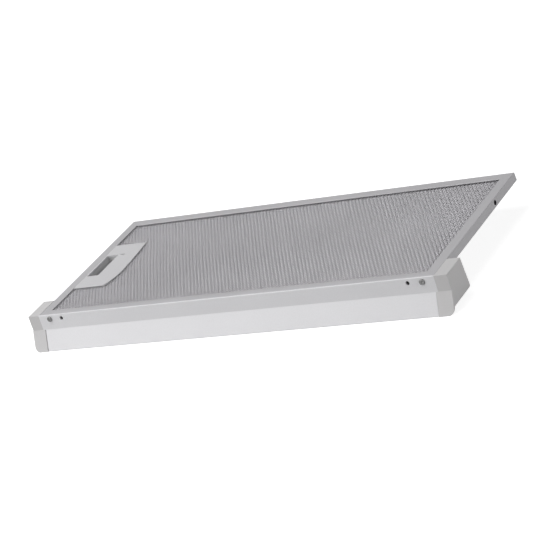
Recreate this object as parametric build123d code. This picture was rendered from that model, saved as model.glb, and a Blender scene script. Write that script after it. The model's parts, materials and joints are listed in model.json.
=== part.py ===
from build123d import *
import math
import os

# Cooker hood grease filter with the front bar of a pull-out hood, in millimetres.
# X runs along the bar, Y from the bar to the rear, Z up. The model is drawn with Z = 0 at the
# filter's upper face and Y = 0 at the bar's top edge, and is moved at the end to stand on Z = 0.

# Filter frame: U-section rails, open towards the mesh, with hemmed lips
FRAME_WIDTH = 564.0
FRAME_REAR = 234.3
FRAME_HEIGHT = 10.8
SHEET = 0.6
BEND = 0.9
LIP = 13.4
MESH_FRONT = 12.0
HEM_SPARE = 0.3
HEM_GAP = 0.15
NOSE = 0.5

# Corner keys pressed into the rails
KEY_LEG = 30.0
KEY_WIDTH = 6.2
KEY_CLEARANCE = 0.1
KEY_LEAD = 1.0
KEY_POCKET = 4.3

# Mesh pack: a coarse mesh on each side and fine crimped layers between them
MESH_CLEARANCE = 0.3
MESH_GAP = 0.3
MESH_THICKNESS = 1.2
MESH_WEB = 0.5
UPPER_PITCH = 5.07
LOWER_PITCH = 15.21
STRAND_ANGLE = 32.0
STRAND_WIDTH = 2.2
GAP_WIDTH = 1.3
GAP_MARGIN = 7.0
GAP_MINIMUM = 65.0
GAP_STEP = 2
LAYER_COUNT = 5
LAYER_THICKNESS = 1.0
LAYER_SHEET = 0.35
LAYER_PITCH = 75.0

# Handle on the left rim: two halves, flush with the frame's two faces.
# A reach is measured from the rim's inner edge, and a place from the handle's front.
HANDLE_FRONT = 64.0
HANDLE_DEPTH = 105.5
HANDLE_FRONT_REACH = 47.4
FRONT_ARC_REACH = 53.4
FRONT_ARC_PLACE = 18.5
HANDLE_BULGE = 54.7
BULGE_PLACE = 42.0
REAR_ARC_REACH = 52.8
REAR_ARC_PLACE = 67.75
HANDLE_REAR_REACH = 48.4
HANDLE_SEAM = 0.15
PLATE_GAP = 0.45
HANDLE_EDGE = 0.5
BODY_INSET = 10.0
BODY_REACH = 45.0

# Finger slot in the upper half
SLOT_NEAR = 2.8
SLOT_WIDTH = 17.8
SLOT_FRONT_INSET = 28.0
SLOT_REAR_INSET = 27.0
SLOT_ROUND = 1.5

# Latch slide, its tongue, its guide slit and its springs
TRAVEL = 5.0
SLIDE_CLEARANCE = 0.25
SLIDE_HEIGHT = 4.5
SLIDE_INSET = 10.0
SLIDE_BAR = 4.5
SLIDE_END = 8.0
PULL_WIDTH = 12.5
PULL_BAR = 13.5
TONGUE_WIDTH = 14.0
TONGUE_REACH = 4.5
TONGUE_NOSE = 2.5
TONGUE_TIP = 1.5
POST_RADIUS = 0.8
POST_INSET = 4.0
SLIT_CLEARANCE = 0.3
SPRING_RADIUS = 1.9
SPRING_WIRE = 0.5
SPRING_LENGTH = 11.0
SPRING_SPACING = 30.0
PEG_LENGTH = 2.2
PEG_SPARE = 0.1
SPRING_SEAT = 0.05

# Screws that hold the handle's halves together
HANDLE_SCREW_RADIUS = 1.2
HANDLE_SCREW_HEAD = 2.3
HANDLE_SCREW_LENGTH = 8.0
HANDLE_SCREW_INSET = 5.0

# Front bar: one folded sheet, drawn as a line through its outer face
BAR_SHEET = 0.8
STRIP_HEIGHT = 18.7
STRIP_LEAN = 2.1
BAR_HEIGHT = 43.8
BAR_LEAN = 13.7
FACE_GAP_LEFT = 1.0
FACE_GAP_RIGHT = 0.2
RETURN_LEVEL = 36.4
RETURN_DEPTH = 16.0
FOLD_GAP = 0.1
HEM_DEPTH = 10.3
HEM_ROUND = 0.7
BAR_BEND = 5.0
BAR_SEAT = 0.05

# Screws and free holes along the strip, from its ends
SCREW_INSET = 16.0
HOLE_INSET = 34.5
HOLE_LEVEL = 5.4
HOLE_RADIUS = 2.5
SCREW_RADIUS = 1.95
SCREW_FIT = 0.05
SCREW_HEAD_RADIUS = 3.4
SCREW_HEAD_HEIGHT = 2.0
SCREW_CROWN = 1.0
SCREW_LENGTH = 8.0

# End caps: hollow mouldings, open towards the bar
CAP_WIDTH = 17.0
CAP_DEPTH = 36.6
CAP_WALL = 2.0
CAP_CORNER = 3.0
CAP_EDGE = 0.6
CAP_CLEARANCE = 0.2
CAP_PLATE = 2.4
PLATE_REACH = 2.8
CAP_FOOT_ROUND = 7.5
PLUG_LENGTH = 15.0
PLUG_DEPTH = 10.0

# Locating hole in the right rail, from the frame's rear
LOCATING_INSET = 62.3
LOCATING_RADIUS = 3.0

HALF_WIDTH = FRAME_WIDTH / 2
MIDDLE_LEVEL = -FRAME_HEIGHT / 2
FRAME_FRONT = 2 * BAR_SHEET + FOLD_GAP + BAR_SEAT
LIP_FRONT = MESH_FRONT - FRAME_FRONT
HEM_HEIGHT = 2 * SHEET + HEM_GAP
KEY_SEAT = SHEET + KEY_CLEARANCE + KEY_WIDTH
KEY_END = KEY_SEAT + HEM_SPARE
RIM_X = LIP - HALF_WIDTH

MESH_TOP_LEVEL = -HEM_HEIGHT - MESH_CLEARANCE
MESH_BOTTOM_LEVEL = -FRAME_HEIGHT + HEM_HEIGHT + MESH_CLEARANCE

HANDLE_WALL = -MESH_TOP_LEVEL - PLATE_GAP
HANDLE_REAR = HANDLE_FRONT + HANDLE_DEPTH
BODY_LEFT = SHEET + KEY_CLEARANCE - HALF_WIDTH
BODY_RIGHT = RIM_X + BODY_REACH
BODY_FRONT = HANDLE_FRONT + BODY_INSET
BODY_REAR = HANDLE_REAR - BODY_INSET
SLOT_LEFT = RIM_X + SLOT_NEAR
SLOT_FRONT = HANDLE_FRONT + SLOT_FRONT_INSET
SLOT_REAR = HANDLE_REAR - SLOT_REAR_INSET
SLIDE_FRONT = BODY_FRONT + SLIDE_INSET
SLIDE_REAR = BODY_REAR - SLIDE_INSET
SLIDE_RIGHT = SLOT_LEFT + PULL_WIDTH + PULL_BAR
SLIDE_LOW = MIDDLE_LEVEL - SLIDE_HEIGHT / 2
SLIDE_HIGH = MIDDLE_LEVEL + SLIDE_HEIGHT / 2
LATCH_Y = (SLIDE_FRONT + SLIDE_REAR) / 2
SPRING_YS = (LATCH_Y - SPRING_SPACING / 2, LATCH_Y + SPRING_SPACING / 2)
PEG_RADIUS = SPRING_RADIUS - SPRING_WIRE - PEG_SPARE

SCREW_X = HALF_WIDTH - SCREW_INSET
HOLE_X = HALF_WIDTH - HOLE_INSET
FACE_RUN = BAR_LEAN - STRIP_LEAN
FACE_RISE = BAR_HEIGHT - STRIP_HEIGHT
LIP_DEPTH = FOLD_GAP + 2 * BAR_SHEET * math.hypot(FACE_RUN, FACE_RISE) / FACE_RISE

LOW_CORNER = (Align.MIN, Align.MIN)
STANDING = (Align.CENTER, Align.CENTER, Align.MIN)


def block(x0, x1, y0, y1, z0, z1):
    """A box between two corners."""
    return Pos(x0, y0, z0) * Box(x1 - x0, y1 - y0, z1 - z0, align=(Align.MIN,) * 3)


def plan(points, low, high):
    """A prism over a plan outline, between two levels."""
    outline = make_face(Polyline(*points, close=True))
    return Pos(0, 0, low) * extrude(outline, high - low)


def along_x(section, x0, x1):
    """A prism along X over a section drawn as Y and Z."""
    return Pos(x0, 0, 0) * extrude(Plane.YZ * section, x1 - x0)


def side_section(points, x0, x1):
    """A prism along X over a closed line of Y and Z."""
    return along_x(make_face(Polyline(*points, close=True)), x0, x1)


def folded(points, thickness):
    """A folded sheet's section: the points follow one face and the sheet lies to their left."""
    runs = [(Vector(*end) - Vector(*start)).normalized() for start, end in zip(points, points[1:])]
    runs = [runs[0]] + runs + [runs[-1]]
    other = []
    for point, before, after in zip(points, runs, runs[1:]):
        side = (before + after).normalized().rotate(Axis.Z, 90)
        reach = thickness / side.dot(before.rotate(Axis.Z, 90))
        other.append(Vector(*point) + side * reach)
    return make_face(Polyline(*points, *reversed(other), close=True))


def rail_section(lip):
    """The rail's section: X is the distance inward from the outer face, Y is the level."""
    upper = [(KEY_END, -HEM_HEIGHT), (lip, -HEM_HEIGHT), (lip, 0), (0, 0)]
    lower = [(x, -FRAME_HEIGHT - level) for x, level in reversed(upper)]
    section = folded(upper + lower, SHEET)
    section = fillet(section.vertices().group_by(Axis.X)[0], BEND)
    return fillet(section.vertices().group_by(Axis.X)[-1], NOSE)


def rail(length, lip, first_inset, last_inset):
    """A mitred rail along X, with its outer face at Y = 0 and its opening towards +Y."""
    end = length / 2
    body = along_x(rail_section(lip), -end, end)
    body &= plan([(-end, 0), (end, 0), (end - last_inset, lip), (first_inset - end, lip)], -FRAME_HEIGHT, 0)
    for x0, x1 in ((-end, KEY_END - end), (end - KEY_END, end)):
        body -= block(x0, x1, KEY_SEAT, lip, SHEET - FRAME_HEIGHT, -SHEET)
    return body


def drill(x, radius, start, depth):
    """A cylinder square to the strip at the screws' level, from a start behind its outer face."""
    at = (x, bar_line(HOLE_LEVEL), -HOLE_LEVEL)
    face = Plane(origin=at, x_dir=(1, 0, 0), z_dir=(0, STRIP_HEIGHT, -STRIP_LEAN))
    return extrude(face.offset(start) * Circle(radius), depth)


def frame_rails():
    """The four rails, mitred at the corners."""
    depth = FRAME_REAR - FRAME_FRONT
    middle = (FRAME_REAR + FRAME_FRONT) / 2
    front = Pos(0, FRAME_FRONT, 0) * rail(FRAME_WIDTH, LIP_FRONT, LIP, LIP)
    rear = Pos(0, FRAME_REAR, 0) * Rot(0, 0, 180) * rail(FRAME_WIDTH, LIP, LIP, LIP)
    left = Pos(-HALF_WIDTH, middle, 0) * Rot(0, 0, -90) * rail(depth, LIP, LIP, LIP_FRONT)
    right = Pos(HALF_WIDTH, middle, 0) * Rot(0, 0, 90) * rail(depth, LIP, LIP_FRONT, LIP)
    for side in (-1, 1):
        front -= drill(side * SCREW_X, SCREW_RADIUS + SCREW_FIT, 0, SCREW_LENGTH)
        front -= drill(side * HOLE_X, HOLE_RADIUS, 0, FRAME_FRONT + KEY_WIDTH)
    left -= Pos(-HALF_WIDTH, LATCH_Y, MIDDLE_LEVEL) * Box(
        4 * SHEET, TONGUE_WIDTH + 2 * SLIDE_CLEARANCE, SLIDE_HEIGHT + 2 * SLIDE_CLEARANCE)
    hole = Pos(HALF_WIDTH, FRAME_REAR - LOCATING_INSET, MIDDLE_LEVEL) * Rot(0, 90, 0)
    right -= hole * Cylinder(LOCATING_RADIUS, 4 * SHEET)
    return {"frame_rail_front": front, "frame_rail_rear": rear,
            "frame_rail_left": left, "frame_rail_right": right}


def corner_key():
    """An L-shaped key for the corner at the origin, its legs along +X and +Y."""
    outer = SHEET + KEY_CLEARANCE
    inner = KEY_SEAT
    tip = inner - KEY_LEAD
    points = [(outer, outer), (KEY_LEG, outer), (KEY_LEG, tip), (KEY_LEG - KEY_LEAD, inner)]
    points += [(inner, inner), (inner, KEY_LEG - KEY_LEAD), (tip, KEY_LEG), (outer, KEY_LEG)]
    low = outer - FRAME_HEIGHT
    key = plan(points, low, -outer)
    bend = key.edges().filter_by(Axis.Z).sort_by_distance((outer, outer, 0))[0]
    key = fillet(bend, BEND)
    near = inner + KEY_LEAD
    far = near + KEY_POCKET
    key -= block(near, far, outer + KEY_LEAD, tip, low + KEY_LEAD, 0)
    key -= block(outer + KEY_LEAD, tip, near, far, low + KEY_LEAD, 0)
    return key


def corner_keys():
    """One key in each corner; the front pair takes the bar's screws."""
    key = corner_key()
    places = {
        "corner_key_front_left": Pos(-HALF_WIDTH, FRAME_FRONT, 0),
        "corner_key_front_right": Pos(HALF_WIDTH, FRAME_FRONT, 0) * Rot(0, 0, 90),
        "corner_key_rear_left": Pos(-HALF_WIDTH, FRAME_REAR, 0) * Rot(0, 0, -90),
        "corner_key_rear_right": Pos(HALF_WIDTH, FRAME_REAR, 0) * Rot(0, 0, 180),
    }
    keys = {name: place * key for name, place in places.items()}
    for name, x in (("corner_key_front_left", -SCREW_X), ("corner_key_front_right", SCREW_X)):
        keys[name] -= drill(x, SCREW_RADIUS + SCREW_FIT, 0, SCREW_LENGTH + KEY_WIDTH)
    return keys


def pack_limits(spare=0.0):
    """The mesh pack's rectangle as x and y limits, grown by a spare on every side."""
    inset = KEY_SEAT + MESH_GAP
    x = HALF_WIDTH - inset + spare
    return -x, x, FRAME_FRONT + inset - spare, FRAME_REAR - inset + spare


def strand_frame(level, sign):
    """Local Y runs along the strands and local X across them."""
    x0, x1, y0, y1 = pack_limits()
    return Pos((x0 + x1) / 2, (y0 + y1) / 2, level) * Rot(0, 0, sign * STRAND_ANGLE)


def strand_reach():
    """Half the length across and along the strands that covers the pack at any corner."""
    x0, x1, y0, y1 = pack_limits()
    lean = math.radians(STRAND_ANGLE)
    across = (x1 - x0) * math.cos(lean) + (y1 - y0) * math.sin(lean)
    along = (x1 - x0) * math.sin(lean) + (y1 - y0) * math.cos(lean)
    return across / 2, along / 2


def pack_blank(low, high):
    """The pack's outline as a solid, without the handle's body."""
    x0, x1, y0, y1 = pack_limits()
    blank = block(x0, x1, y0, y1, low, high)
    return blank - block(x0 - MESH_GAP, BODY_RIGHT + MESH_GAP,
                         BODY_FRONT - MESH_GAP, BODY_REAR + MESH_GAP, low, high)


def strand_sheet(section, low, high, sign):
    """A sheet of one section along the strands, cut to the pack's outline."""
    along = strand_reach()[1]
    sheet = strand_frame(low, sign) * Pos(0, along, 0) * extrude(Plane.XZ * section, 2 * along)
    return sheet & pack_blank(low, high)


def gap_field():
    """The part of the pack that takes gaps: all but a margin and the handle's place."""
    x0, x1, y0, y1 = pack_limits(-GAP_MARGIN)
    field = Pos(x0, y0) * Rectangle(x1 - x0, y1 - y0, align=LOW_CORNER)
    width = RIM_X + HANDLE_BULGE + GAP_MARGIN / 2 - x0
    depth = HANDLE_DEPTH + 2 * GAP_MARGIN
    return field - Pos(x0, HANDLE_FRONT - GAP_MARGIN) * Rectangle(width, depth, align=LOW_CORNER)


def coarse_mesh(low, sign, pitch):
    """A ridged sheet, its strands a pitch apart along X, with long gaps in some grooves."""
    step = pitch * math.cos(math.radians(STRAND_ANGLE))
    across, along = strand_reach()
    count = 2 * math.ceil(across / step)
    edge = count / 2 * step
    points = [(-edge, 0), (-edge, MESH_WEB)]
    for i in range(count):
        middle = (i + 0.5) * step - edge
        points.append((middle - STRAND_WIDTH / 2, MESH_WEB))
        points.append((middle, MESH_THICKNESS))
        points.append((middle + STRAND_WIDTH / 2, MESH_WEB))
    points += [(edge, MESH_WEB), (edge, 0)]
    section = make_face(Polyline(*points, close=True))
    sheet = strand_sheet(section, low, low + MESH_THICKNESS, sign)
    field = gap_field()
    cutters = []
    for i in range(1, count, GAP_STEP):
        groove = strand_frame(0, sign) * Pos(i * step - edge, 0) * Rectangle(GAP_WIDTH, 2 * along)
        for gap in (field & groove).faces():
            if gap.area > GAP_WIDTH * GAP_MINIMUM:
                cutters.append(Pos(0, 0, low) * extrude(gap, MESH_THICKNESS))
    return sheet - cutters


def crimped_layer(low, sign):
    """A thin sheet folded into shallow waves."""
    across = strand_reach()[0]
    count = 2 * math.ceil(across / LAYER_PITCH)
    lower = []
    for i in range(2 * count + 1):
        lower.append(((i - count) / 2 * LAYER_PITCH, (LAYER_THICKNESS - LAYER_SHEET) * (i % 2)))
    upper = [(x, z + LAYER_SHEET) for x, z in reversed(lower)]
    section = make_face(Polyline(*lower, *upper, close=True))
    return strand_sheet(section, low, low + LAYER_THICKNESS, sign)


def mesh_pack():
    """Both coarse meshes and the layers between them."""
    pack = {"mesh_top": coarse_mesh(MESH_TOP_LEVEL - MESH_THICKNESS, 1, UPPER_PITCH)}
    room = MESH_TOP_LEVEL - MESH_BOTTOM_LEVEL - 2 * MESH_THICKNESS
    step = room / LAYER_COUNT
    for i in range(LAYER_COUNT):
        middle = MESH_TOP_LEVEL - MESH_THICKNESS - (i + 0.5) * step
        pack[f"filter_layer_{i + 1}"] = crimped_layer(middle - LAYER_THICKNESS / 2, 1 if i % 2 else -1)
    lower = mirror(coarse_mesh(0, -1, LOWER_PITCH), Plane.XY)
    pack["mesh_bottom"] = Pos(0, 0, MESH_BOTTOM_LEVEL + MESH_THICKNESS) * lower
    return pack


def handle_outline():
    """The handle's outline in plan: straight at the rim, bulging towards the mesh."""
    x0 = RIM_X + HANDLE_SEAM
    curve = []
    for reach, place in ((HANDLE_FRONT_REACH, 0), (FRONT_ARC_REACH, FRONT_ARC_PLACE),
                         (HANDLE_BULGE, BULGE_PLACE), (REAR_ARC_REACH, REAR_ARC_PLACE),
                         (HANDLE_REAR_REACH, HANDLE_DEPTH)):
        curve.append((RIM_X + reach, HANDLE_FRONT + place))
    edge = Line((x0, HANDLE_FRONT), curve[0]) + ThreePointArc(*curve[:3]) + ThreePointArc(*curve[2:])
    edge += Polyline(curve[-1], (x0, HANDLE_REAR), (x0, HANDLE_FRONT))
    return make_face(edge)


def finger_slot(low, high):
    """The finger slot as a prism with rounded corners."""
    depth = SLOT_REAR - SLOT_FRONT
    outline = RectangleRounded(SLOT_WIDTH, depth, SLOT_ROUND, align=LOW_CORNER)
    return Pos(SLOT_LEFT, SLOT_FRONT, low) * extrude(outline, high - low)


def handle_halves():
    """The upper and the lower half of the handle."""
    plate = Pos(0, 0, -HANDLE_WALL) * extrude(handle_outline(), HANDLE_WALL)
    free_edges = plate.faces().sort_by(Axis.Z)[-1].edges().sort_by(Axis.X)[1:]
    plate = chamfer(free_edges, HANDLE_EDGE)
    upper = plate + block(BODY_LEFT, BODY_RIGHT, BODY_FRONT, BODY_REAR, MIDDLE_LEVEL, MESH_TOP_LEVEL)
    upper += block(RIM_X + HANDLE_SEAM, BODY_RIGHT, BODY_FRONT, BODY_REAR, MESH_TOP_LEVEL, -HANDLE_WALL)
    lower = mirror(upper, Plane.XY.offset(MIDDLE_LEVEL))
    cavity = block(BODY_LEFT - SHEET, SLIDE_RIGHT + SPRING_LENGTH,
                   SLIDE_FRONT - SLIDE_CLEARANCE, SLIDE_REAR + SLIDE_CLEARANCE,
                   SLIDE_LOW - SLIDE_CLEARANCE, SLIDE_HIGH + SLIDE_CLEARANCE)
    upper -= [cavity, finger_slot(MIDDLE_LEVEL, HANDLE_WALL)]
    lower -= [cavity, finger_slot(HANDLE_WALL - FRAME_HEIGHT, MIDDLE_LEVEL)]
    slit = SlotCenterToCenter(TRAVEL, 2 * (POST_RADIUS + SLIT_CLEARANCE))
    upper -= Pos(SLIDE_RIGHT - POST_INSET + TRAVEL / 2, SLOT_REAR, MIDDLE_LEVEL) * extrude(slit, FRAME_HEIGHT)
    for place in handle_screw_places():
        upper -= place * Cylinder(HANDLE_SCREW_RADIUS + SCREW_FIT, HANDLE_SCREW_LENGTH + SHEET, align=STANDING)
        lower -= place * Cylinder(HANDLE_SCREW_RADIUS + SCREW_FIT, FRAME_HEIGHT, align=STANDING)
        lower -= place * Cylinder(HANDLE_SCREW_HEAD + SCREW_FIT, HANDLE_WALL + SHEET, align=STANDING)
    for y in SPRING_YS:
        peg = Pos(SLIDE_RIGHT + SPRING_LENGTH, y, MIDDLE_LEVEL) * Rot(0, -90, 0)
        lower += peg * Cylinder(PEG_RADIUS, PEG_LENGTH, align=STANDING)
    return {"handle_plate": upper, "handle_back": lower}


def handle_screw_places():
    """The two screws' places on the handle's lower face; the rail's lips hold its other side."""
    x = BODY_RIGHT - HANDLE_SCREW_INSET
    ys = (BODY_FRONT + HANDLE_SCREW_INSET, BODY_REAR - HANDLE_SCREW_INSET)
    return [Pos(x, y, -FRAME_HEIGHT) for y in ys]


def handle_screws():
    """Two flat head screws from below."""
    shank = Cylinder(HANDLE_SCREW_RADIUS, HANDLE_SCREW_LENGTH, align=STANDING)
    head = Cylinder(HANDLE_SCREW_HEAD, HANDLE_WALL, align=STANDING)
    screw = Pos(0, 0, SHEET) * (shank + head)
    return Compound([place * screw for place in handle_screw_places()])


def latch_slide():
    """The slide: a flat frame round the finger, with the tongue on its left."""
    left = SLOT_LEFT - SLIDE_BAR
    slide = block(left, SLIDE_RIGHT, SLIDE_FRONT, SLIDE_REAR, SLIDE_LOW, SLIDE_HIGH)
    slide -= block(SLOT_LEFT, SLOT_LEFT + PULL_WIDTH, SLIDE_FRONT + SLIDE_END,
                   SLIDE_REAR - SLIDE_END + SLOT_ROUND, SLIDE_LOW, SLIDE_HIGH)
    tip = -HALF_WIDTH - TONGUE_REACH
    root = left + SLIDE_BAR / 2
    ramp = [(tip, SLIDE_HIGH), (tip, SLIDE_HIGH - TONGUE_TIP), (tip + TONGUE_NOSE, SLIDE_LOW)]
    ramp += [(root, SLIDE_LOW), (root, SLIDE_HIGH)]
    nose = Plane.XZ * make_face(Polyline(*ramp, close=True))
    slide += Pos(0, LATCH_Y + TONGUE_WIDTH / 2, 0) * extrude(nose, TONGUE_WIDTH)
    post = Cylinder(POST_RADIUS, -SLIDE_HIGH - HANDLE_EDGE, align=STANDING)
    slide += Pos(SLIDE_RIGHT - POST_INSET, SLOT_REAR, SLIDE_HIGH) * post
    for y in SPRING_YS:
        peg = Pos(SLIDE_RIGHT, y, MIDDLE_LEVEL) * Rot(0, 90, 0)
        slide += peg * Cylinder(PEG_RADIUS, PEG_LENGTH, align=STANDING)
    return slide


def latch_spring(y):
    """A compression spring, as the sleeve its turns fill, from the slide to the handle's wall."""
    ring = Circle(SPRING_RADIUS) - Circle(SPRING_RADIUS - SPRING_WIRE)
    sleeve = along_x(ring, SPRING_SEAT, SPRING_LENGTH - SPRING_SEAT)
    return Pos(SLIDE_RIGHT, y, MIDDLE_LEVEL) * sleeve


def bar_line(level, offset=0.0):
    """The Y of the bar's outer face at a level below the top, moved back by an offset."""
    if level <= STRIP_HEIGHT:
        return offset - level * STRIP_LEAN / STRIP_HEIGHT
    return offset - STRIP_LEAN - (level - STRIP_HEIGHT) * FACE_RUN / FACE_RISE


def bar_section():
    """The folded sheet: hemmed top, strip, leaning face, doubled lower lip and return flange."""
    back = 2 * BAR_SHEET + FOLD_GAP
    flange = RETURN_LEVEL + BAR_SHEET
    points = [(bar_line(HEM_DEPTH, back), -HEM_DEPTH), (back, 0), (0, 0)]
    points += [(bar_line(STRIP_HEIGHT), -STRIP_HEIGHT), (bar_line(BAR_HEIGHT), -BAR_HEIGHT)]
    points += [(bar_line(BAR_HEIGHT, LIP_DEPTH), -BAR_HEIGHT), (bar_line(flange, LIP_DEPTH), -flange)]
    points.append((bar_line(flange, LIP_DEPTH) + RETURN_DEPTH, -flange))
    section = folded(points, BAR_SHEET)
    section = fillet(section.vertices().group_by(Axis.Y)[-1], HEM_ROUND)
    section = fillet(section.vertices().group_by(Axis.Y)[0], HEM_ROUND)
    bend = section.vertices().sort_by_distance((bar_line(STRIP_HEIGHT), -STRIP_HEIGHT, 0))
    return fillet(bend[0], BAR_BEND)


def front_bar():
    """The folded bar, its face cut back beside the caps, with its screw holes."""
    bar = along_x(bar_section(), -HALF_WIDTH, HALF_WIDTH)
    left_end = PLATE_REACH + FACE_GAP_LEFT - HALF_WIDTH
    right_end = HALF_WIDTH - PLATE_REACH - FACE_GAP_RIGHT
    for x0, x1 in ((-HALF_WIDTH, left_end), (right_end, HALF_WIDTH)):
        bar -= block(x0, x1, -BAR_LEAN, CAP_DEPTH, -BAR_HEIGHT, -STRIP_HEIGHT)
    for x in (-SCREW_X, -HOLE_X, HOLE_X, SCREW_X):
        bar -= drill(x, HOLE_RADIUS, -BAR_LEAN, BAR_LEAN + LIP_DEPTH)
    return bar


def bar_screws():
    """Two pan head screws through the strip into the front corner keys."""
    screws = []
    for x in (-SCREW_X, SCREW_X):
        head = drill(x, SCREW_HEAD_RADIUS, 0, -SCREW_HEAD_HEIGHT)
        head = chamfer(head.faces().sort_by(Axis.Y)[0].edges(), SCREW_CROWN)
        screws.append(head + drill(x, SCREW_RADIUS, 0, SCREW_LENGTH))
    return Compound(screws)


def cap_plate(inner, outer):
    """The cap's front plate beside the face's end, round at its lower outer corner."""
    rise = [(bar_line(STRIP_HEIGHT), -STRIP_HEIGHT), (bar_line(BAR_HEIGHT), -BAR_HEIGHT)]
    back = [(y + CAP_PLATE, z) for y, z in reversed(rise)]
    outline = Pos(inner, -BAR_HEIGHT) * Rectangle(outer - inner, FACE_RISE, align=LOW_CORNER)
    foot = outline.vertices().group_by(Axis.Y)[0].sort_by(Axis.X)[-1]
    outline = fillet(foot, CAP_FOOT_ROUND)
    reach = Pos(0, CAP_DEPTH, 0) * extrude(Plane.XZ * outline, 2 * CAP_DEPTH)
    return side_section(rise + back, inner, outer) & reach


def cap_plug(x0, x1):
    """The cap's angled plug, which sits in the corner of the bar's lip and return flange."""
    spare = LIP_DEPTH + CAP_CLEARANCE
    low = RETURN_LEVEL - CAP_CLEARANCE
    high = low - PLUG_DEPTH
    corner = bar_line(low, spare)
    line = [(bar_line(high, spare), -high), (corner, -low), (corner + PLUG_DEPTH, -low)]
    return along_x(folded(line, CAP_WALL), x0, x1)


def end_cap():
    """The right-hand cap: a hollow box behind a front plate, with a plug into the bar."""
    inner = HALF_WIDTH
    outer = HALF_WIDTH + CAP_WIDTH
    front = [(bar_line(level), -level) for level in (0, STRIP_HEIGHT, RETURN_LEVEL)]
    box = side_section(front + [(CAP_DEPTH, -RETURN_LEVEL), (CAP_DEPTH, 0)], inner, outer)
    heel = box.edges().filter_by(Axis.X).sort_by_distance((outer, CAP_DEPTH, -RETURN_LEVEL))[0]
    box = fillet(heel, CAP_CORNER)
    room = offset(box, -CAP_WALL, openings=box.faces().sort_by(Axis.X)[0])
    box = chamfer(room.faces().sort_by(Axis.X)[-1].edges(), CAP_EDGE)
    middle = CAP_DEPTH / 2
    box += block(inner + CAP_CLEARANCE, outer - CAP_WALL, middle - CAP_WALL / 2,
                 middle + CAP_WALL / 2, CAP_WALL - RETURN_LEVEL, -CAP_WALL)
    cap = box + cap_plate(inner - PLATE_REACH, outer)
    return cap + cap_plug(inner - PLATE_REACH - PLUG_LENGTH, inner + CAP_WALL)


def build():
    """All pieces by name, in the drawing frame."""
    pieces = {}
    pieces.update(frame_rails())
    pieces.update(corner_keys())
    pieces.update(mesh_pack())
    pieces.update(handle_halves())
    pieces["latch_slide"] = latch_slide()
    pieces["latch_spring_front"], pieces["latch_spring_rear"] = map(latch_spring, SPRING_YS)
    pieces["handle_screws"] = handle_screws()
    pieces["front_bar"] = front_bar()
    pieces["end_cap_right"] = end_cap()
    pieces["end_cap_left"] = mirror(pieces["end_cap_right"], Plane.YZ)
    pieces["bar_screws"] = bar_screws()
    return pieces


os.makedirs("parts", exist_ok=True)
middle_y = (FRAME_REAR - BAR_LEAN) / 2
for name, shape in build().items():
    export_step(Pos(0, -middle_y, BAR_HEIGHT) * shape, f"parts/{name}.step")
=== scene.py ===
import json
import math

import bpy
import numpy as np
from mathutils import Matrix, Vector


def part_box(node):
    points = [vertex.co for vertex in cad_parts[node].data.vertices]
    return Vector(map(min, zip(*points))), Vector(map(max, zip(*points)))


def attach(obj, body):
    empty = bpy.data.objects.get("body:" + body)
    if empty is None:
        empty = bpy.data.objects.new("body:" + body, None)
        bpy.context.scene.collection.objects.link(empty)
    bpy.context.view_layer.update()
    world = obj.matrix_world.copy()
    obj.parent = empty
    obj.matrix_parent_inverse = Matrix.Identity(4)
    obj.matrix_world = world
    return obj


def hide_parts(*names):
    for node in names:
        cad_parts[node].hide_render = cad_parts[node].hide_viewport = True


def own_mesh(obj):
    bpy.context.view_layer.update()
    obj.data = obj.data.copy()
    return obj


# Cooker hood grease filter with its front bar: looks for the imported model, in metres.

MM = 0.001

# Camera, found from the straight edges in the photograph
CAMERA_PLACE = (1.5011, -1.9310, 1.0143)
CAMERA_RIGHT = (0.8173, 0.4530, -0.3560)
CAMERA_UP = (0.0897, 0.5103, 0.8553)
CAMERA_BACK = (0.5691, -0.7310, 0.3765)
CAMERA_LENS = 146.0
CAMERA_SENSOR = 36.0

# Expanded metal: a diamond's width across the strands and length along them, a strand's section,
# its tilt in degrees, and the share of half a diamond that it lies level each side of a knuckle
COARSE = dict(width=5.07 * MM, length=8.12 * MM, strand=1.15 * MM, thickness=0.42 * MM,
              tilt=38.0, knuckle=0.22)
FOIL = dict(width=4.0 * MM, length=6.5 * MM, strand=0.9 * MM, thickness=0.3 * MM,
            tilt=30.0, knuckle=0.0)

# The face attribute that marks the rolled sheet's own faces, and the share of the colour they keep:
# painted shade that darkens these broad faces against the cut edges, though both are the same aluminium
ROLLED = "rolled"
ROLLED_PAINTED_SHADE = 0.56

# The handle's body, which the mesh pack goes round: from the left rail and the handle's ends
BODY_REACH = 45.0 * MM
BODY_INSET = 10.0 * MM
BODY_GAP = 0.3 * MM

# Screws: the head's radius and rise, the shank's radius, the length from under the head to the tip,
# and the share of the rise by which the head falls towards its edge
BAR_SCREW = dict(head=3.4 * MM, rise=2.0 * MM, shank=1.95 * MM, length=8.0 * MM, dome=0.45)
HANDLE_SCREW = dict(head=2.3 * MM, rise=1.2 * MM, shank=1.2 * MM, length=6.8 * MM, dome=0.1)

# Points round a screw, rings on its head's top, and the ring on the head's side as a share of the rise
SCREW_SIDES = 48
HEAD_RINGS = 14
SIDE_RING = 0.25

# Cross recess: half an arm's width and an arm's reach as shares of the head, depth as a share of its rise
RECESS_ARM = 0.17
RECESS_REACH = 0.66
RECESS_DEPTH = 0.85

# Springs: the wire's thickness, the turns, the points in a turn and the points round the wire
SPRING_WIRE = 0.5 * MM
SPRING_TURNS = 6.5
TURN_POINTS = 20
WIRE_SIDES = 8

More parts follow.
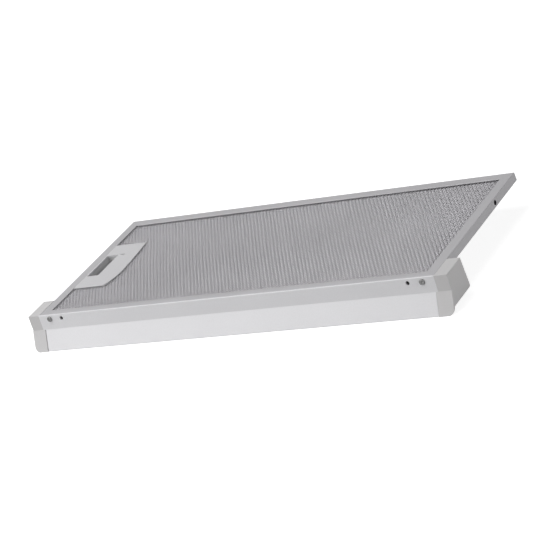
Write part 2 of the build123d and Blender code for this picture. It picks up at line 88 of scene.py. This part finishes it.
# Grain: detail of its fine and its broad noise, the broad one's scale, the share that each gives,
# the stretch of their sum that goes from the dark colour to the light one, and the relief's height
FINE_DETAIL = 3.0
BROAD_DETAIL = 2.0
BROAD_SCALE = 9.0
NOISE_SHARE = 0.5
DARK_AT = 0.32
LIGHT_AT = 0.68
GRAIN_DEPTH = 0.02 * MM
GRAIN_INPUTS = dict(Stretch="NodeSocketVector", Scale="NodeSocketFloat", Dark="NodeSocketColor",
                    Light="NodeSocketColor", Smooth="NodeSocketFloat", Rough="NodeSocketFloat")
GRAIN_OUTPUTS = dict(Color="NodeSocketColor", Roughness="NodeSocketFloat", Height="NodeSocketFloat")

# How the grain is drawn out: not at all, along the bar, or from front to rear
EVEN = (1, 1, 1)
ALONG_BAR = (0.02, 1, 1)
ACROSS_BAR = (1, 0.02, 1)

# Where a Mix node of colours keeps its two colours and its result
FIRST_COLOUR = 6
SECOND_COLOUR = 7
MIXED_COLOUR = 2

# Tints: shares more of red and of blue than of green
METAL_TINT = (0.015, 0.035)
PAINT_TINT = (0.005, 0.025)
PLASTIC_TINT = (0.015, 0.005)
NYLON_TINT = (0.02, -0.02)
NO_TINT = (0.0, 0.0)

# Finishes: the grain's darker and lighter sRGB grey, its tint, and its lower and higher roughness
RAIL_METAL = dict(greys=(165, 177), tint=METAL_TINT, roughness=(0.34, 0.5), scale=1200.0, metallic=0.2)
MESH_METAL = dict(greys=(217, 226), tint=METAL_TINT, roughness=(0.36, 0.55), metallic=0.35)
LAYER_METAL = dict(greys=(190, 203), tint=METAL_TINT, roughness=(0.35, 0.55), metallic=0.3)
BAR_PAINT = dict(greys=(220, 226), tint=PAINT_TINT, roughness=(0.34, 0.42), scale=600.0)
CAP_PLASTIC = dict(greys=(194, 200), tint=PLASTIC_TINT, roughness=(0.42, 0.55), scale=1500.0, bump=0.25)
HANDLE_PLASTIC = dict(greys=(193, 200), tint=PAINT_TINT, roughness=(0.4, 0.52), scale=1500.0, bump=0.2)
# The slide's greys are lighter than the handle's plastic: painted light that brightens the shaded finger
# slot
SLIDE_PLASTIC_PAINTED_LIGHT = dict(greys=(204, 211), tint=NO_TINT, roughness=(0.45, 0.6), scale=1500.0, bump=0.2)
KEY_NYLON = dict(greys=(214, 222), tint=NYLON_TINT, roughness=(0.45, 0.6), scale=1200.0)
SPRING_STEEL = dict(greys=(170, 190), tint=NO_TINT, roughness=(0.2, 0.35), metallic=1.0)
SCREW_STEEL = dict(greys=(100, 125), tint=NO_TINT, roughness=(0.3, 0.5), metallic=1.0)

# Studio: a pale floor that glows to the camera, more further out, a white surround and soft lamps
FLOOR_HALF = 12.0
FLOOR_COLOUR = (0.5, 0.5, 0.5, 1)
FLOOR_ROUGHNESS = 0.9
FLOOR_GLOW_NEAR = 0.86
FLOOR_GLOW_FAR = 1.0
GLOW_START = 0.45
GLOW_END = 2.0
WHITE = (1, 1, 1, 1)
SURROUND_LIGHT = 0.12
LAMPS = (
    dict(name="overhead", place=(-0.7, -0.3, 2.1), size=1.8, power=35.0),
    dict(name="front", place=(-1.35, -1.9, 1.0), size=1.4, power=21.5),
    dict(name="right", place=(2.3, -0.5, 0.38), size=0.8, power=13.0),
)

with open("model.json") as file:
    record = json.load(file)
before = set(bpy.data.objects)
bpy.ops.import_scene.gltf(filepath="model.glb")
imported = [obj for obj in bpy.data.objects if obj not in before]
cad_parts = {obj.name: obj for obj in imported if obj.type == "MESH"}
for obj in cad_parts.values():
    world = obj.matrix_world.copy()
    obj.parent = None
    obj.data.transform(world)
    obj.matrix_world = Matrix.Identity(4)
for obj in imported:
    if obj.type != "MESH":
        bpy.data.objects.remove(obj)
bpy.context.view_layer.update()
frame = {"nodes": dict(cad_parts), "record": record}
nodes = frame["nodes"]


def new_mesh(name, points, *face_sets, smooth=True):
    """A mesh object at the origin, from an array of points and arrays of faces.

    Each array of faces holds those with one count of sides.
    """
    mesh = bpy.data.meshes.new(name)
    points = np.asarray(points, np.float32).reshape(-1, 3)
    corners = np.concatenate([np.asarray(faces, np.int32).ravel() for faces in face_sets])
    sides = np.concatenate([np.full(len(faces), len(faces[0]), np.int32) for faces in face_sets])
    mesh.vertices.add(len(points))
    mesh.vertices.foreach_set("co", points.ravel())
    mesh.loops.add(len(corners))
    mesh.loops.foreach_set("vertex_index", corners)
    mesh.polygons.add(len(sides))
    mesh.polygons.foreach_set("loop_start", np.cumsum(sides, dtype=np.int32) - sides)
    mesh.polygons.foreach_set("use_smooth", np.full(len(sides), smooth))
    mesh.update(calc_edges=True)
    mesh.validate()
    piece = bpy.data.objects.new(name, mesh)
    bpy.context.scene.collection.objects.link(piece)
    return piece


def grid_faces(rows, columns):
    """Faces of a tube of rings of points, ring by ring; the last column joins the first."""
    r, c = np.meshgrid(np.arange(rows - 1), np.arange(columns), indexing="ij")
    a = r * columns + c
    b = r * columns + (c + 1) % columns
    return np.stack([a, b, b + columns, a + columns], axis=-1).reshape(-1, 4)


def zigzag(s, knuckle):
    """+1 at even s and -1 at odd s, level for a knuckle's share each side and straight between."""
    away = np.abs((s + 1) % 2 - 1)
    return 1 - 2 * np.clip((away - knuckle) / (1 - 2 * knuckle), 0, 1)


def strand_run(centres, turns, start, end, width, length, strand, thickness, tilt, knuckle):
    """Zigzag strands side by side along local Y, from start to end, about level 0.

    A strand's centre is x = centre + turn * swing * zigzag(y / half a diamond).
    Its section is a rectangle turned about the strand by the tilt. Gives points, faces, and for each
    face 1 where it is the rolled sheet's own and 0 where it was cut.
    """
    half = length / 2
    lean = math.radians(tilt)
    swing = (width / 2 - strand * math.cos(lean)) / 2
    steps = np.arange(math.floor(start / half), math.ceil(end / half) + 1)
    bends = np.unique(np.concatenate([steps - knuckle, steps + knuckle])) * half
    y = np.concatenate([[start], bends[(bends > start) & (bends < end)], [end]])
    w, t = strand / 2, thickness / 2
    corners = np.array([(-w, -t), (w, -t), (w, t), (-w, t)])
    across = corners[:, 0] * math.cos(lean) - corners[:, 1] * math.sin(lean)
    up = corners[:, 0] * math.sin(lean) + corners[:, 1] * math.cos(lean)
    x = centres[:, None] + turns[:, None] * swing * zigzag(y / half, knuckle)[None, :]
    points = np.zeros((len(centres), len(y), 4, 3))
    points[..., 0] = x[:, :, None] + across
    points[..., 1] = y[None, :, None]
    points[..., 2] = up
    last = len(y) * 4 - 1
    lids = np.array([[0, 1, 2, 3], [last, last - 1, last - 2, last - 3]])
    one = np.concatenate([grid_faces(len(y), 4)[:, ::-1], lids])
    faces = one[None] + (np.arange(len(centres)) * (last + 1))[:, None, None]
    rolled = np.tile([*(len(y) - 1) * (1.0, 0.0, 1.0, 0.0), 0.0, 0.0], len(centres))
    return points.reshape(-1, 3), faces.reshape(-1, 4), rolled


def expanded_sheet(name, node, form, along_bar=False, flip=False):
    """Expanded metal over the box of a node of the pack, open round the handle's body.

    The strands run from front to rear, or along the bar; flip turns the sheet's faces over.
    """
    low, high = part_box(node)
    plate_low, plate_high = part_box("handle_plate")
    body_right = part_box("frame_rail_left")[1].x + BODY_REACH + BODY_GAP
    body_front = plate_low.y + BODY_INSET - BODY_GAP
    body_rear = plate_high.y - BODY_INSET + BODY_GAP
    if along_bar:
        across, body = (low.y, high.y), (body_front, body_rear)
        runs = ((True, body_right, high.x), (False, low.x, high.x))
    else:
        across, body = (low.x, high.x), (low.x, body_right)
        runs = ((True, low.y, body_front), (True, body_rear, high.y), (False, low.y, high.y))
    width, strand = form["width"], form["strand"]
    count = int((across[1] - across[0] - width) / (width / 2)) + 1
    middle = (across[0] + across[1]) / 2
    centres = middle + (np.arange(count) - (count - 1) / 2) * width / 2
    turns = np.where(np.arange(count) % 2 == 0, 1.0, -1.0)
    beside = (centres > body[0] - width / 4 - strand / 2) & (centres < body[1] + width / 4 + strand / 2)
    points, faces, rolled, start = [], [], [], 0
    for at_body, run_start, run_end in runs:
        chosen = beside == at_body
        run_points, run_faces, run_rolled = strand_run(
            centres[chosen], turns[chosen], run_start, run_end, **form)
        points.append(run_points)
        faces.append(run_faces + start)
        rolled.append(run_rolled)
        start += len(run_points)
    points, faces = np.concatenate(points), np.concatenate(faces)
    if along_bar:
        points = points[:, [1, 0, 2]]
    if flip:
        points[:, 2] *= -1
    if along_bar != flip:
        faces = faces[:, ::-1]
    points[:, 2] += (low.z + high.z) / 2
    piece = new_mesh(name, points, faces, smooth=False)
    mask = piece.data.attributes.new(ROLLED, "FLOAT", "FACE")
    mask.data.foreach_set("value", np.concatenate(rolled))
    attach(piece, "filter")
    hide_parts(node)
    return piece


def coil(name, node):
    """A spring of round wire: the wire's centre goes round the axis while it moves along X."""
    low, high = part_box(node)
    radius = (high.y - low.y) / 2 - SPRING_WIRE / 2
    turn = np.linspace(0, 1, int(SPRING_TURNS * TURN_POINTS) + 1)
    angle = 2 * math.pi * SPRING_TURNS * turn
    length = high.x - low.x - SPRING_WIRE
    middle = np.stack([low.x + SPRING_WIRE / 2 + length * turn,
                       (low.y + high.y) / 2 + radius * np.cos(angle),
                       (low.z + high.z) / 2 + radius * np.sin(angle)], axis=1)
    outward = np.stack([np.zeros_like(angle), np.cos(angle), np.sin(angle)], axis=1)
    along = np.gradient(middle, axis=0)
    along /= np.linalg.norm(along, axis=1)[:, None]
    other = np.cross(along, outward)
    around = np.linspace(0, 2 * math.pi, WIRE_SIDES, endpoint=False)[None, :, None]
    away = np.cos(around) * outward[:, None] + np.sin(around) * other[:, None]
    points = middle[:, None] + SPRING_WIRE / 2 * away
    last = len(middle) * WIRE_SIDES
    ends = np.array([np.arange(WIRE_SIDES)[::-1], np.arange(last - WIRE_SIDES, last)])
    piece = new_mesh(name, points, grid_faces(len(middle), WIRE_SIDES), ends)
    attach(piece, "filter")
    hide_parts(node)
    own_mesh(piece)
    return piece


def cross_screws(name, node, places, head, rise, shank, length, dome):
    """Screws with a cross recess, each at a matrix that turns local Z out of the head.

    The head's top is rise * (1 - dome * (r / head) ** 2), less the depth of a cross whose arms get
    shallower outwards. Below it the profile goes down the side, in to the shank and to its end.
    """
    around = np.linspace(0, 2 * math.pi, SCREW_SIDES, endpoint=False)
    r, a = np.meshgrid(np.linspace(0, 1, HEAD_RINGS + 1)[1:] * head, around, indexing="ij")
    x, y = r * np.cos(a), r * np.sin(a)
    in_arm = (np.minimum(np.abs(x), np.abs(y)) < RECESS_ARM * head) & (r < RECESS_REACH * head)
    depth = np.where(in_arm, rise * RECESS_DEPTH * (1 - r / head), 0.0)
    top = np.stack([x, y, rise * (1 - dome * (r / head) ** 2) - depth], axis=-1)
    profile = [(head, rise * SIDE_RING), (head, 0.0), (shank, 0.0), (shank, shank - length)]
    sides = [np.stack([ring * np.cos(around), ring * np.sin(around), np.full(SCREW_SIDES, level)], axis=-1)
             for ring, level in profile]
    rings = np.concatenate([top, np.array(sides)])
    rows, columns = rings.shape[:2]
    ends = np.array([(0, 0, rise * (1 - RECESS_DEPTH)), (0, 0, -length)])
    flat = np.concatenate([rings.reshape(-1, 3), ends])
    first, count = np.arange(columns), rows * columns
    after = (first + 1) % columns
    lowest = count - columns
    top_fan = np.stack([first, after, np.full(columns, count)], axis=1)
    tip_fan = np.stack([after + lowest, first + lowest, np.full(columns, count + 1)], axis=1)
    quads = grid_faces(rows, columns)[:, ::-1]
    fans = np.concatenate([top_fan, tip_fan])
    points = [flat @ np.array(place)[:3, :3].T + np.array(place)[:3, 3] for place in places]
    starts = (np.arange(len(places)) * len(flat))[:, None, None]
    piece = new_mesh(name, np.concatenate(points),
                     (quads + starts).reshape(-1, 4), (fans + starts).reshape(-1, 3))
    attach(piece, "filter")
    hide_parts(node)
    return piece


def bar_screw_places():
    """Where the strip's screws sit: beside its free holes, square to its face."""
    hole = next(mount for mount in frame["record"]["mounts"] if mount["name"] == "strip_hole_left")
    out = Vector(hole["axis"])
    seat = Vector(hole["pos_m"]) + out * hole["dims"]["length_mm"] * MM / 2
    low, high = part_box("bar_screws")
    turn = out.to_track_quat("Z", "X").to_matrix().to_4x4()
    return [Matrix.Translation((x, seat.y, seat.z)) @ turn
            for x in (low.x + BAR_SCREW["head"], high.x - BAR_SCREW["head"])]


def handle_screw_places():
    """Where the handle's screws sit, heads down."""
    low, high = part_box("handle_screws")
    seat = low.z + HANDLE_SCREW["rise"]
    turn = Matrix.Rotation(math.pi, 4, "X")
    return [Matrix.Translation(((low.x + high.x) / 2, y, seat)) @ turn
            for y in (low.y + HANDLE_SCREW["head"], high.y - HANDLE_SCREW["head"])]


def grain_group():
    """Fine and broad noise on Object coordinates, the fine drawn out by a vector.

    Gives a colour between the dark and the light one, a roughness and a height.
    """
    tree = bpy.data.node_groups.new("fine_grain", "ShaderNodeTree")
    for direction, sockets in (("INPUT", GRAIN_INPUTS), ("OUTPUT", GRAIN_OUTPUTS)):
        for name, kind in sockets.items():
            tree.interface.new_socket(name, in_out=direction, socket_type=kind)
    new, link = tree.nodes.new, tree.links.new
    entry, leave = new("NodeGroupInput"), new("NodeGroupOutput")
    place = new("ShaderNodeTexCoord")
    stretch = new("ShaderNodeVectorMath")
    stretch.operation = "MULTIPLY"
    link(place.outputs["Object"], stretch.inputs[0])
    link(entry.outputs["Stretch"], stretch.inputs[1])
    fine = new("ShaderNodeTexNoise")
    fine.inputs["Detail"].default_value = FINE_DETAIL
    link(stretch.outputs[0], fine.inputs["Vector"])
    link(entry.outputs["Scale"], fine.inputs["Scale"])
    broad = new("ShaderNodeTexNoise")
    broad.inputs["Scale"].default_value = BROAD_SCALE
    broad.inputs["Detail"].default_value = BROAD_DETAIL
    link(place.outputs["Object"], broad.inputs["Vector"])
    share = new("ShaderNodeMath")
    share.operation = "MULTIPLY"
    share.inputs[1].default_value = NOISE_SHARE
    link(fine.outputs["Fac"], share.inputs[0])
    both = new("ShaderNodeMath")
    both.operation = "MULTIPLY_ADD"
    both.inputs[1].default_value = NOISE_SHARE
    link(broad.outputs["Fac"], both.inputs[0])
    link(share.outputs[0], both.inputs[2])
    spread = new("ShaderNodeMapRange")
    spread.inputs["From Min"].default_value = DARK_AT
    spread.inputs["From Max"].default_value = LIGHT_AT
    link(both.outputs[0], spread.inputs["Value"])
    colour = new("ShaderNodeMix")
    colour.data_type = "RGBA"
    link(spread.outputs["Result"], colour.inputs["Factor"])
    link(entry.outputs["Dark"], colour.inputs[FIRST_COLOUR])
    link(entry.outputs["Light"], colour.inputs[SECOND_COLOUR])
    rough = new("ShaderNodeMapRange")
    link(fine.outputs["Fac"], rough.inputs["Value"])
    link(entry.outputs["Smooth"], rough.inputs["To Min"])
    link(entry.outputs["Rough"], rough.inputs["To Max"])
    link(colour.outputs[MIXED_COLOUR], leave.inputs["Color"])
    link(rough.outputs["Result"], leave.inputs["Roughness"])
    link(fine.outputs["Fac"], leave.inputs["Height"])
    return tree


GRAIN = grain_group()


def tone(grey, tint):
    """A linear colour from an sRGB grey out of 255 and a tint."""
    linear = ((grey / 255 + 0.055) / 1.055) ** 2.4
    red, blue = tint
    return (linear * (1 + red), linear, linear * (1 + blue), 1)


def finish_material(name, greys, tint, roughness, stretch=EVEN, scale=900.0, metallic=0.0, bump=0.1):
    """A material with grain in its colour, roughness and surface."""
    material = bpy.data.materials.new(name)
    material.use_nodes = True
    tree = material.node_tree
    shader = tree.nodes["Principled BSDF"]
    shader.inputs["Metallic"].default_value = metallic
    grain = tree.nodes.new("ShaderNodeGroup")
    grain.node_tree = GRAIN
    grain.inputs["Stretch"].default_value = stretch
    grain.inputs["Scale"].default_value = scale
    grain.inputs["Dark"].default_value = tone(greys[0], tint)
    grain.inputs["Light"].default_value = tone(greys[1], tint)
    grain.inputs["Smooth"].default_value = roughness[0]
    grain.inputs["Rough"].default_value = roughness[1]
    relief = tree.nodes.new("ShaderNodeBump")
    relief.inputs["Strength"].default_value = bump
    relief.inputs["Distance"].default_value = GRAIN_DEPTH
    tree.links.new(grain.outputs["Color"], shader.inputs["Base Color"])
    tree.links.new(grain.outputs["Roughness"], shader.inputs["Roughness"])
    tree.links.new(grain.outputs["Height"], relief.inputs["Height"])
    tree.links.new(relief.outputs["Normal"], shader.inputs["Normal"])
    return material


def paint_shade_on_rolled(material, share):
    """Painted shade: takes a material's colour to a share of itself on a mesh's rolled faces; its cut
    edges keep it.
    """
    tree = material.node_tree
    shader = tree.nodes["Principled BSDF"]
    colour = shader.inputs["Base Color"].links[0].from_socket
    mask = tree.nodes.new("ShaderNodeAttribute")
    mask.attribute_name = ROLLED
    shade = tree.nodes.new("ShaderNodeMix")
    shade.data_type = "RGBA"
    shade.blend_type = "MULTIPLY"
    shade.inputs[SECOND_COLOUR].default_value = (share, share, share, 1)
    tree.links.new(mask.outputs["Fac"], shade.inputs["Factor"])
    tree.links.new(colour, shade.inputs[FIRST_COLOUR])
    tree.links.new(shade.outputs[MIXED_COLOUR], shader.inputs["Base Color"])


def dress(pieces, material):
    """Puts one material on CAD nodes or new pieces."""
    for piece in pieces:
        piece.data.materials.clear()
        piece.data.materials.append(material)


def seen_mask(tree):
    """1 for what the camera sees, straight on or in metal and glass, and 0 for light that is spread."""
    paths = tree.nodes.new("ShaderNodeLightPath")
    seen = paths.outputs["Is Camera Ray"]
    for ray in ("Is Glossy Ray", "Is Transmission Ray"):
        either = tree.nodes.new("ShaderNodeMath")
        either.operation = "MAXIMUM"
        tree.links.new(seen, either.inputs[0])
        tree.links.new(paths.outputs[ray], either.inputs[1])
        seen = either.outputs[0]
    return seen


def floor_material():
    """Pale, with a glow to the camera that leaves the object's shadow and grows to white further out."""
    material = bpy.data.materials.new("studio_floor")
    material.use_nodes = True
    tree = material.node_tree
    shader = tree.nodes["Principled BSDF"]
    shader.inputs["Base Color"].default_value = FLOOR_COLOUR
    shader.inputs["Roughness"].default_value = FLOOR_ROUGHNESS
    shader.inputs["Specular IOR Level"].default_value = 0.0
    place = tree.nodes.new("ShaderNodeTexCoord")
    reach = tree.nodes.new("ShaderNodeVectorMath")
    reach.operation = "LENGTH"
    tree.links.new(place.outputs["Object"], reach.inputs[0])
    rise = tree.nodes.new("ShaderNodeMapRange")
    rise.inputs["From Min"].default_value = GLOW_START
    rise.inputs["From Max"].default_value = GLOW_END
    rise.inputs["To Min"].default_value = FLOOR_GLOW_NEAR
    rise.inputs["To Max"].default_value = FLOOR_GLOW_FAR
    tree.links.new(reach.outputs["Value"], rise.inputs["Value"])
    glow = tree.nodes.new("ShaderNodeEmission")
    tree.links.new(rise.outputs["Result"], glow.inputs["Strength"])
    nothing = tree.nodes.new("ShaderNodeEmission")
    nothing.inputs["Strength"].default_value = 0.0
    choose = tree.nodes.new("ShaderNodeMixShader")
    add = tree.nodes.new("ShaderNodeAddShader")
    tree.links.new(seen_mask(tree), choose.inputs[0])
    tree.links.new(nothing.outputs[0], choose.inputs[1])
    tree.links.new(glow.outputs[0], choose.inputs[2])
    tree.links.new(shader.outputs[0], add.inputs[0])
    tree.links.new(choose.outputs[0], add.inputs[1])
    tree.links.new(add.outputs[0], tree.nodes["Material Output"].inputs["Surface"])
    return material


def surround():
    """A white world: white to the camera, and a plain even light on the object."""
    world = bpy.data.worlds.new("studio")
    world.use_nodes = True
    tree = world.node_tree
    plain = tree.nodes["Background"]
    plain.inputs["Color"].default_value = WHITE
    plain.inputs["Strength"].default_value = SURROUND_LIGHT
    seen = tree.nodes.new("ShaderNodeBackground")
    seen.inputs["Color"].default_value = WHITE
    choose = tree.nodes.new("ShaderNodeMixShader")
    tree.links.new(seen_mask(tree), choose.inputs[0])
    tree.links.new(plain.outputs[0], choose.inputs[1])
    tree.links.new(seen.outputs[0], choose.inputs[2])
    tree.links.new(choose.outputs[0], tree.nodes["World Output"].inputs["Surface"])
    bpy.context.scene.world = world


def soft_lamp(name, place, size, power):
    """A square lamp aimed at the object."""
    lamp = bpy.data.lights.new(name, "AREA")
    lamp.size = size
    lamp.energy = power
    holder = bpy.data.objects.new(name, lamp)
    holder.location = place
    holder.rotation_euler = (-Vector(place)).to_track_quat("-Z", "Y").to_euler()
    bpy.context.scene.collection.objects.link(holder)


# New pieces, each in the place of a node of the pack
mesh_top = expanded_sheet("mesh_top_expanded", "mesh_top", COARSE)
mesh_bottom = expanded_sheet("mesh_bottom_expanded", "mesh_bottom", COARSE, flip=True)
foil_top = expanded_sheet("filter_layer_1_foil", "filter_layer_1", FOIL, along_bar=True)
foil_bottom = expanded_sheet("filter_layer_5_foil", "filter_layer_5", FOIL, along_bar=True, flip=True)
spring_front = coil("latch_spring_front_coil", "latch_spring_front")
spring_rear = coil("latch_spring_rear_coil", "latch_spring_rear")
bar_screws = cross_screws("bar_screws_cross", "bar_screws", bar_screw_places(), **BAR_SCREW)
handle_screws = cross_screws("handle_screws_cross", "handle_screws", handle_screw_places(), **HANDLE_SCREW)

# Materials, and the nodes and new pieces that wear them
rail_metal = finish_material("rail_aluminium_along_bar", stretch=ALONG_BAR, **RAIL_METAL)
side_metal = finish_material("rail_aluminium_across", stretch=ACROSS_BAR, **RAIL_METAL)
mesh_metal = finish_material("mesh_aluminium", **MESH_METAL)
# Painted shade on the mesh's broad rolled faces, so they give back less sheen than its cut edges
paint_shade_on_rolled(mesh_metal, ROLLED_PAINTED_SHADE)
layer_metal = finish_material("layer_aluminium", **LAYER_METAL)
bar_paint = finish_material("bar_paint", **BAR_PAINT)
cap_plastic = finish_material("cap_plastic", **CAP_PLASTIC)
handle_plastic = finish_material("handle_plastic", **HANDLE_PLASTIC)
slide_plastic = finish_material("slide_plastic", **SLIDE_PLASTIC_PAINTED_LIGHT)
key_nylon = finish_material("key_nylon", **KEY_NYLON)
spring_steel = finish_material("spring_steel", **SPRING_STEEL)
screw_steel = finish_material("screw_steel", **SCREW_STEEL)

dress([nodes["frame_rail_front"], nodes["frame_rail_rear"]], rail_metal)
dress([nodes["frame_rail_left"], nodes["frame_rail_right"]], side_metal)
dress([mesh_top, mesh_bottom, nodes["mesh_top"], nodes["mesh_bottom"]], mesh_metal)
dress([foil_top, foil_bottom], layer_metal)
dress([nodes[name] for name in nodes if name.startswith("filter_layer")], layer_metal)
dress([nodes["front_bar"]], bar_paint)
dress([nodes["end_cap_left"], nodes["end_cap_right"]], cap_plastic)
dress([nodes["handle_plate"], nodes["handle_back"]], handle_plastic)
# The slide wears the lighter plastic: painted light in the shaded finger slot
dress([nodes["latch_slide"]], slide_plastic)
dress([nodes[name] for name in nodes if name.startswith("corner_key")], key_nylon)
dress([spring_front, spring_rear, nodes["latch_spring_front"], nodes["latch_spring_rear"]], spring_steel)
dress([bar_screws, handle_screws, nodes["bar_screws"], nodes["handle_screws"]], screw_steel)

floor_corners = [(-FLOOR_HALF, -FLOOR_HALF, 0), (FLOOR_HALF, -FLOOR_HALF, 0),
                 (FLOOR_HALF, FLOOR_HALF, 0), (-FLOOR_HALF, FLOOR_HALF, 0)]
floor = new_mesh("floor", floor_corners, [[0, 1, 2, 3]], smooth=False)
dress([floor], floor_material())
surround()
for lamp_values in LAMPS:
    soft_lamp(**lamp_values)

camera_data = bpy.data.cameras.new("camera")
camera_data.lens = CAMERA_LENS
camera_data.sensor_width = CAMERA_SENSOR
camera = bpy.data.objects.new("camera", camera_data)
pose = Matrix((CAMERA_RIGHT, CAMERA_UP, CAMERA_BACK)).transposed().to_4x4()
pose.translation = CAMERA_PLACE
camera.matrix_world = pose
bpy.context.scene.collection.objects.link(camera)
bpy.context.scene.camera = camera
bpy.context.scene.view_settings.view_transform = "Standard"
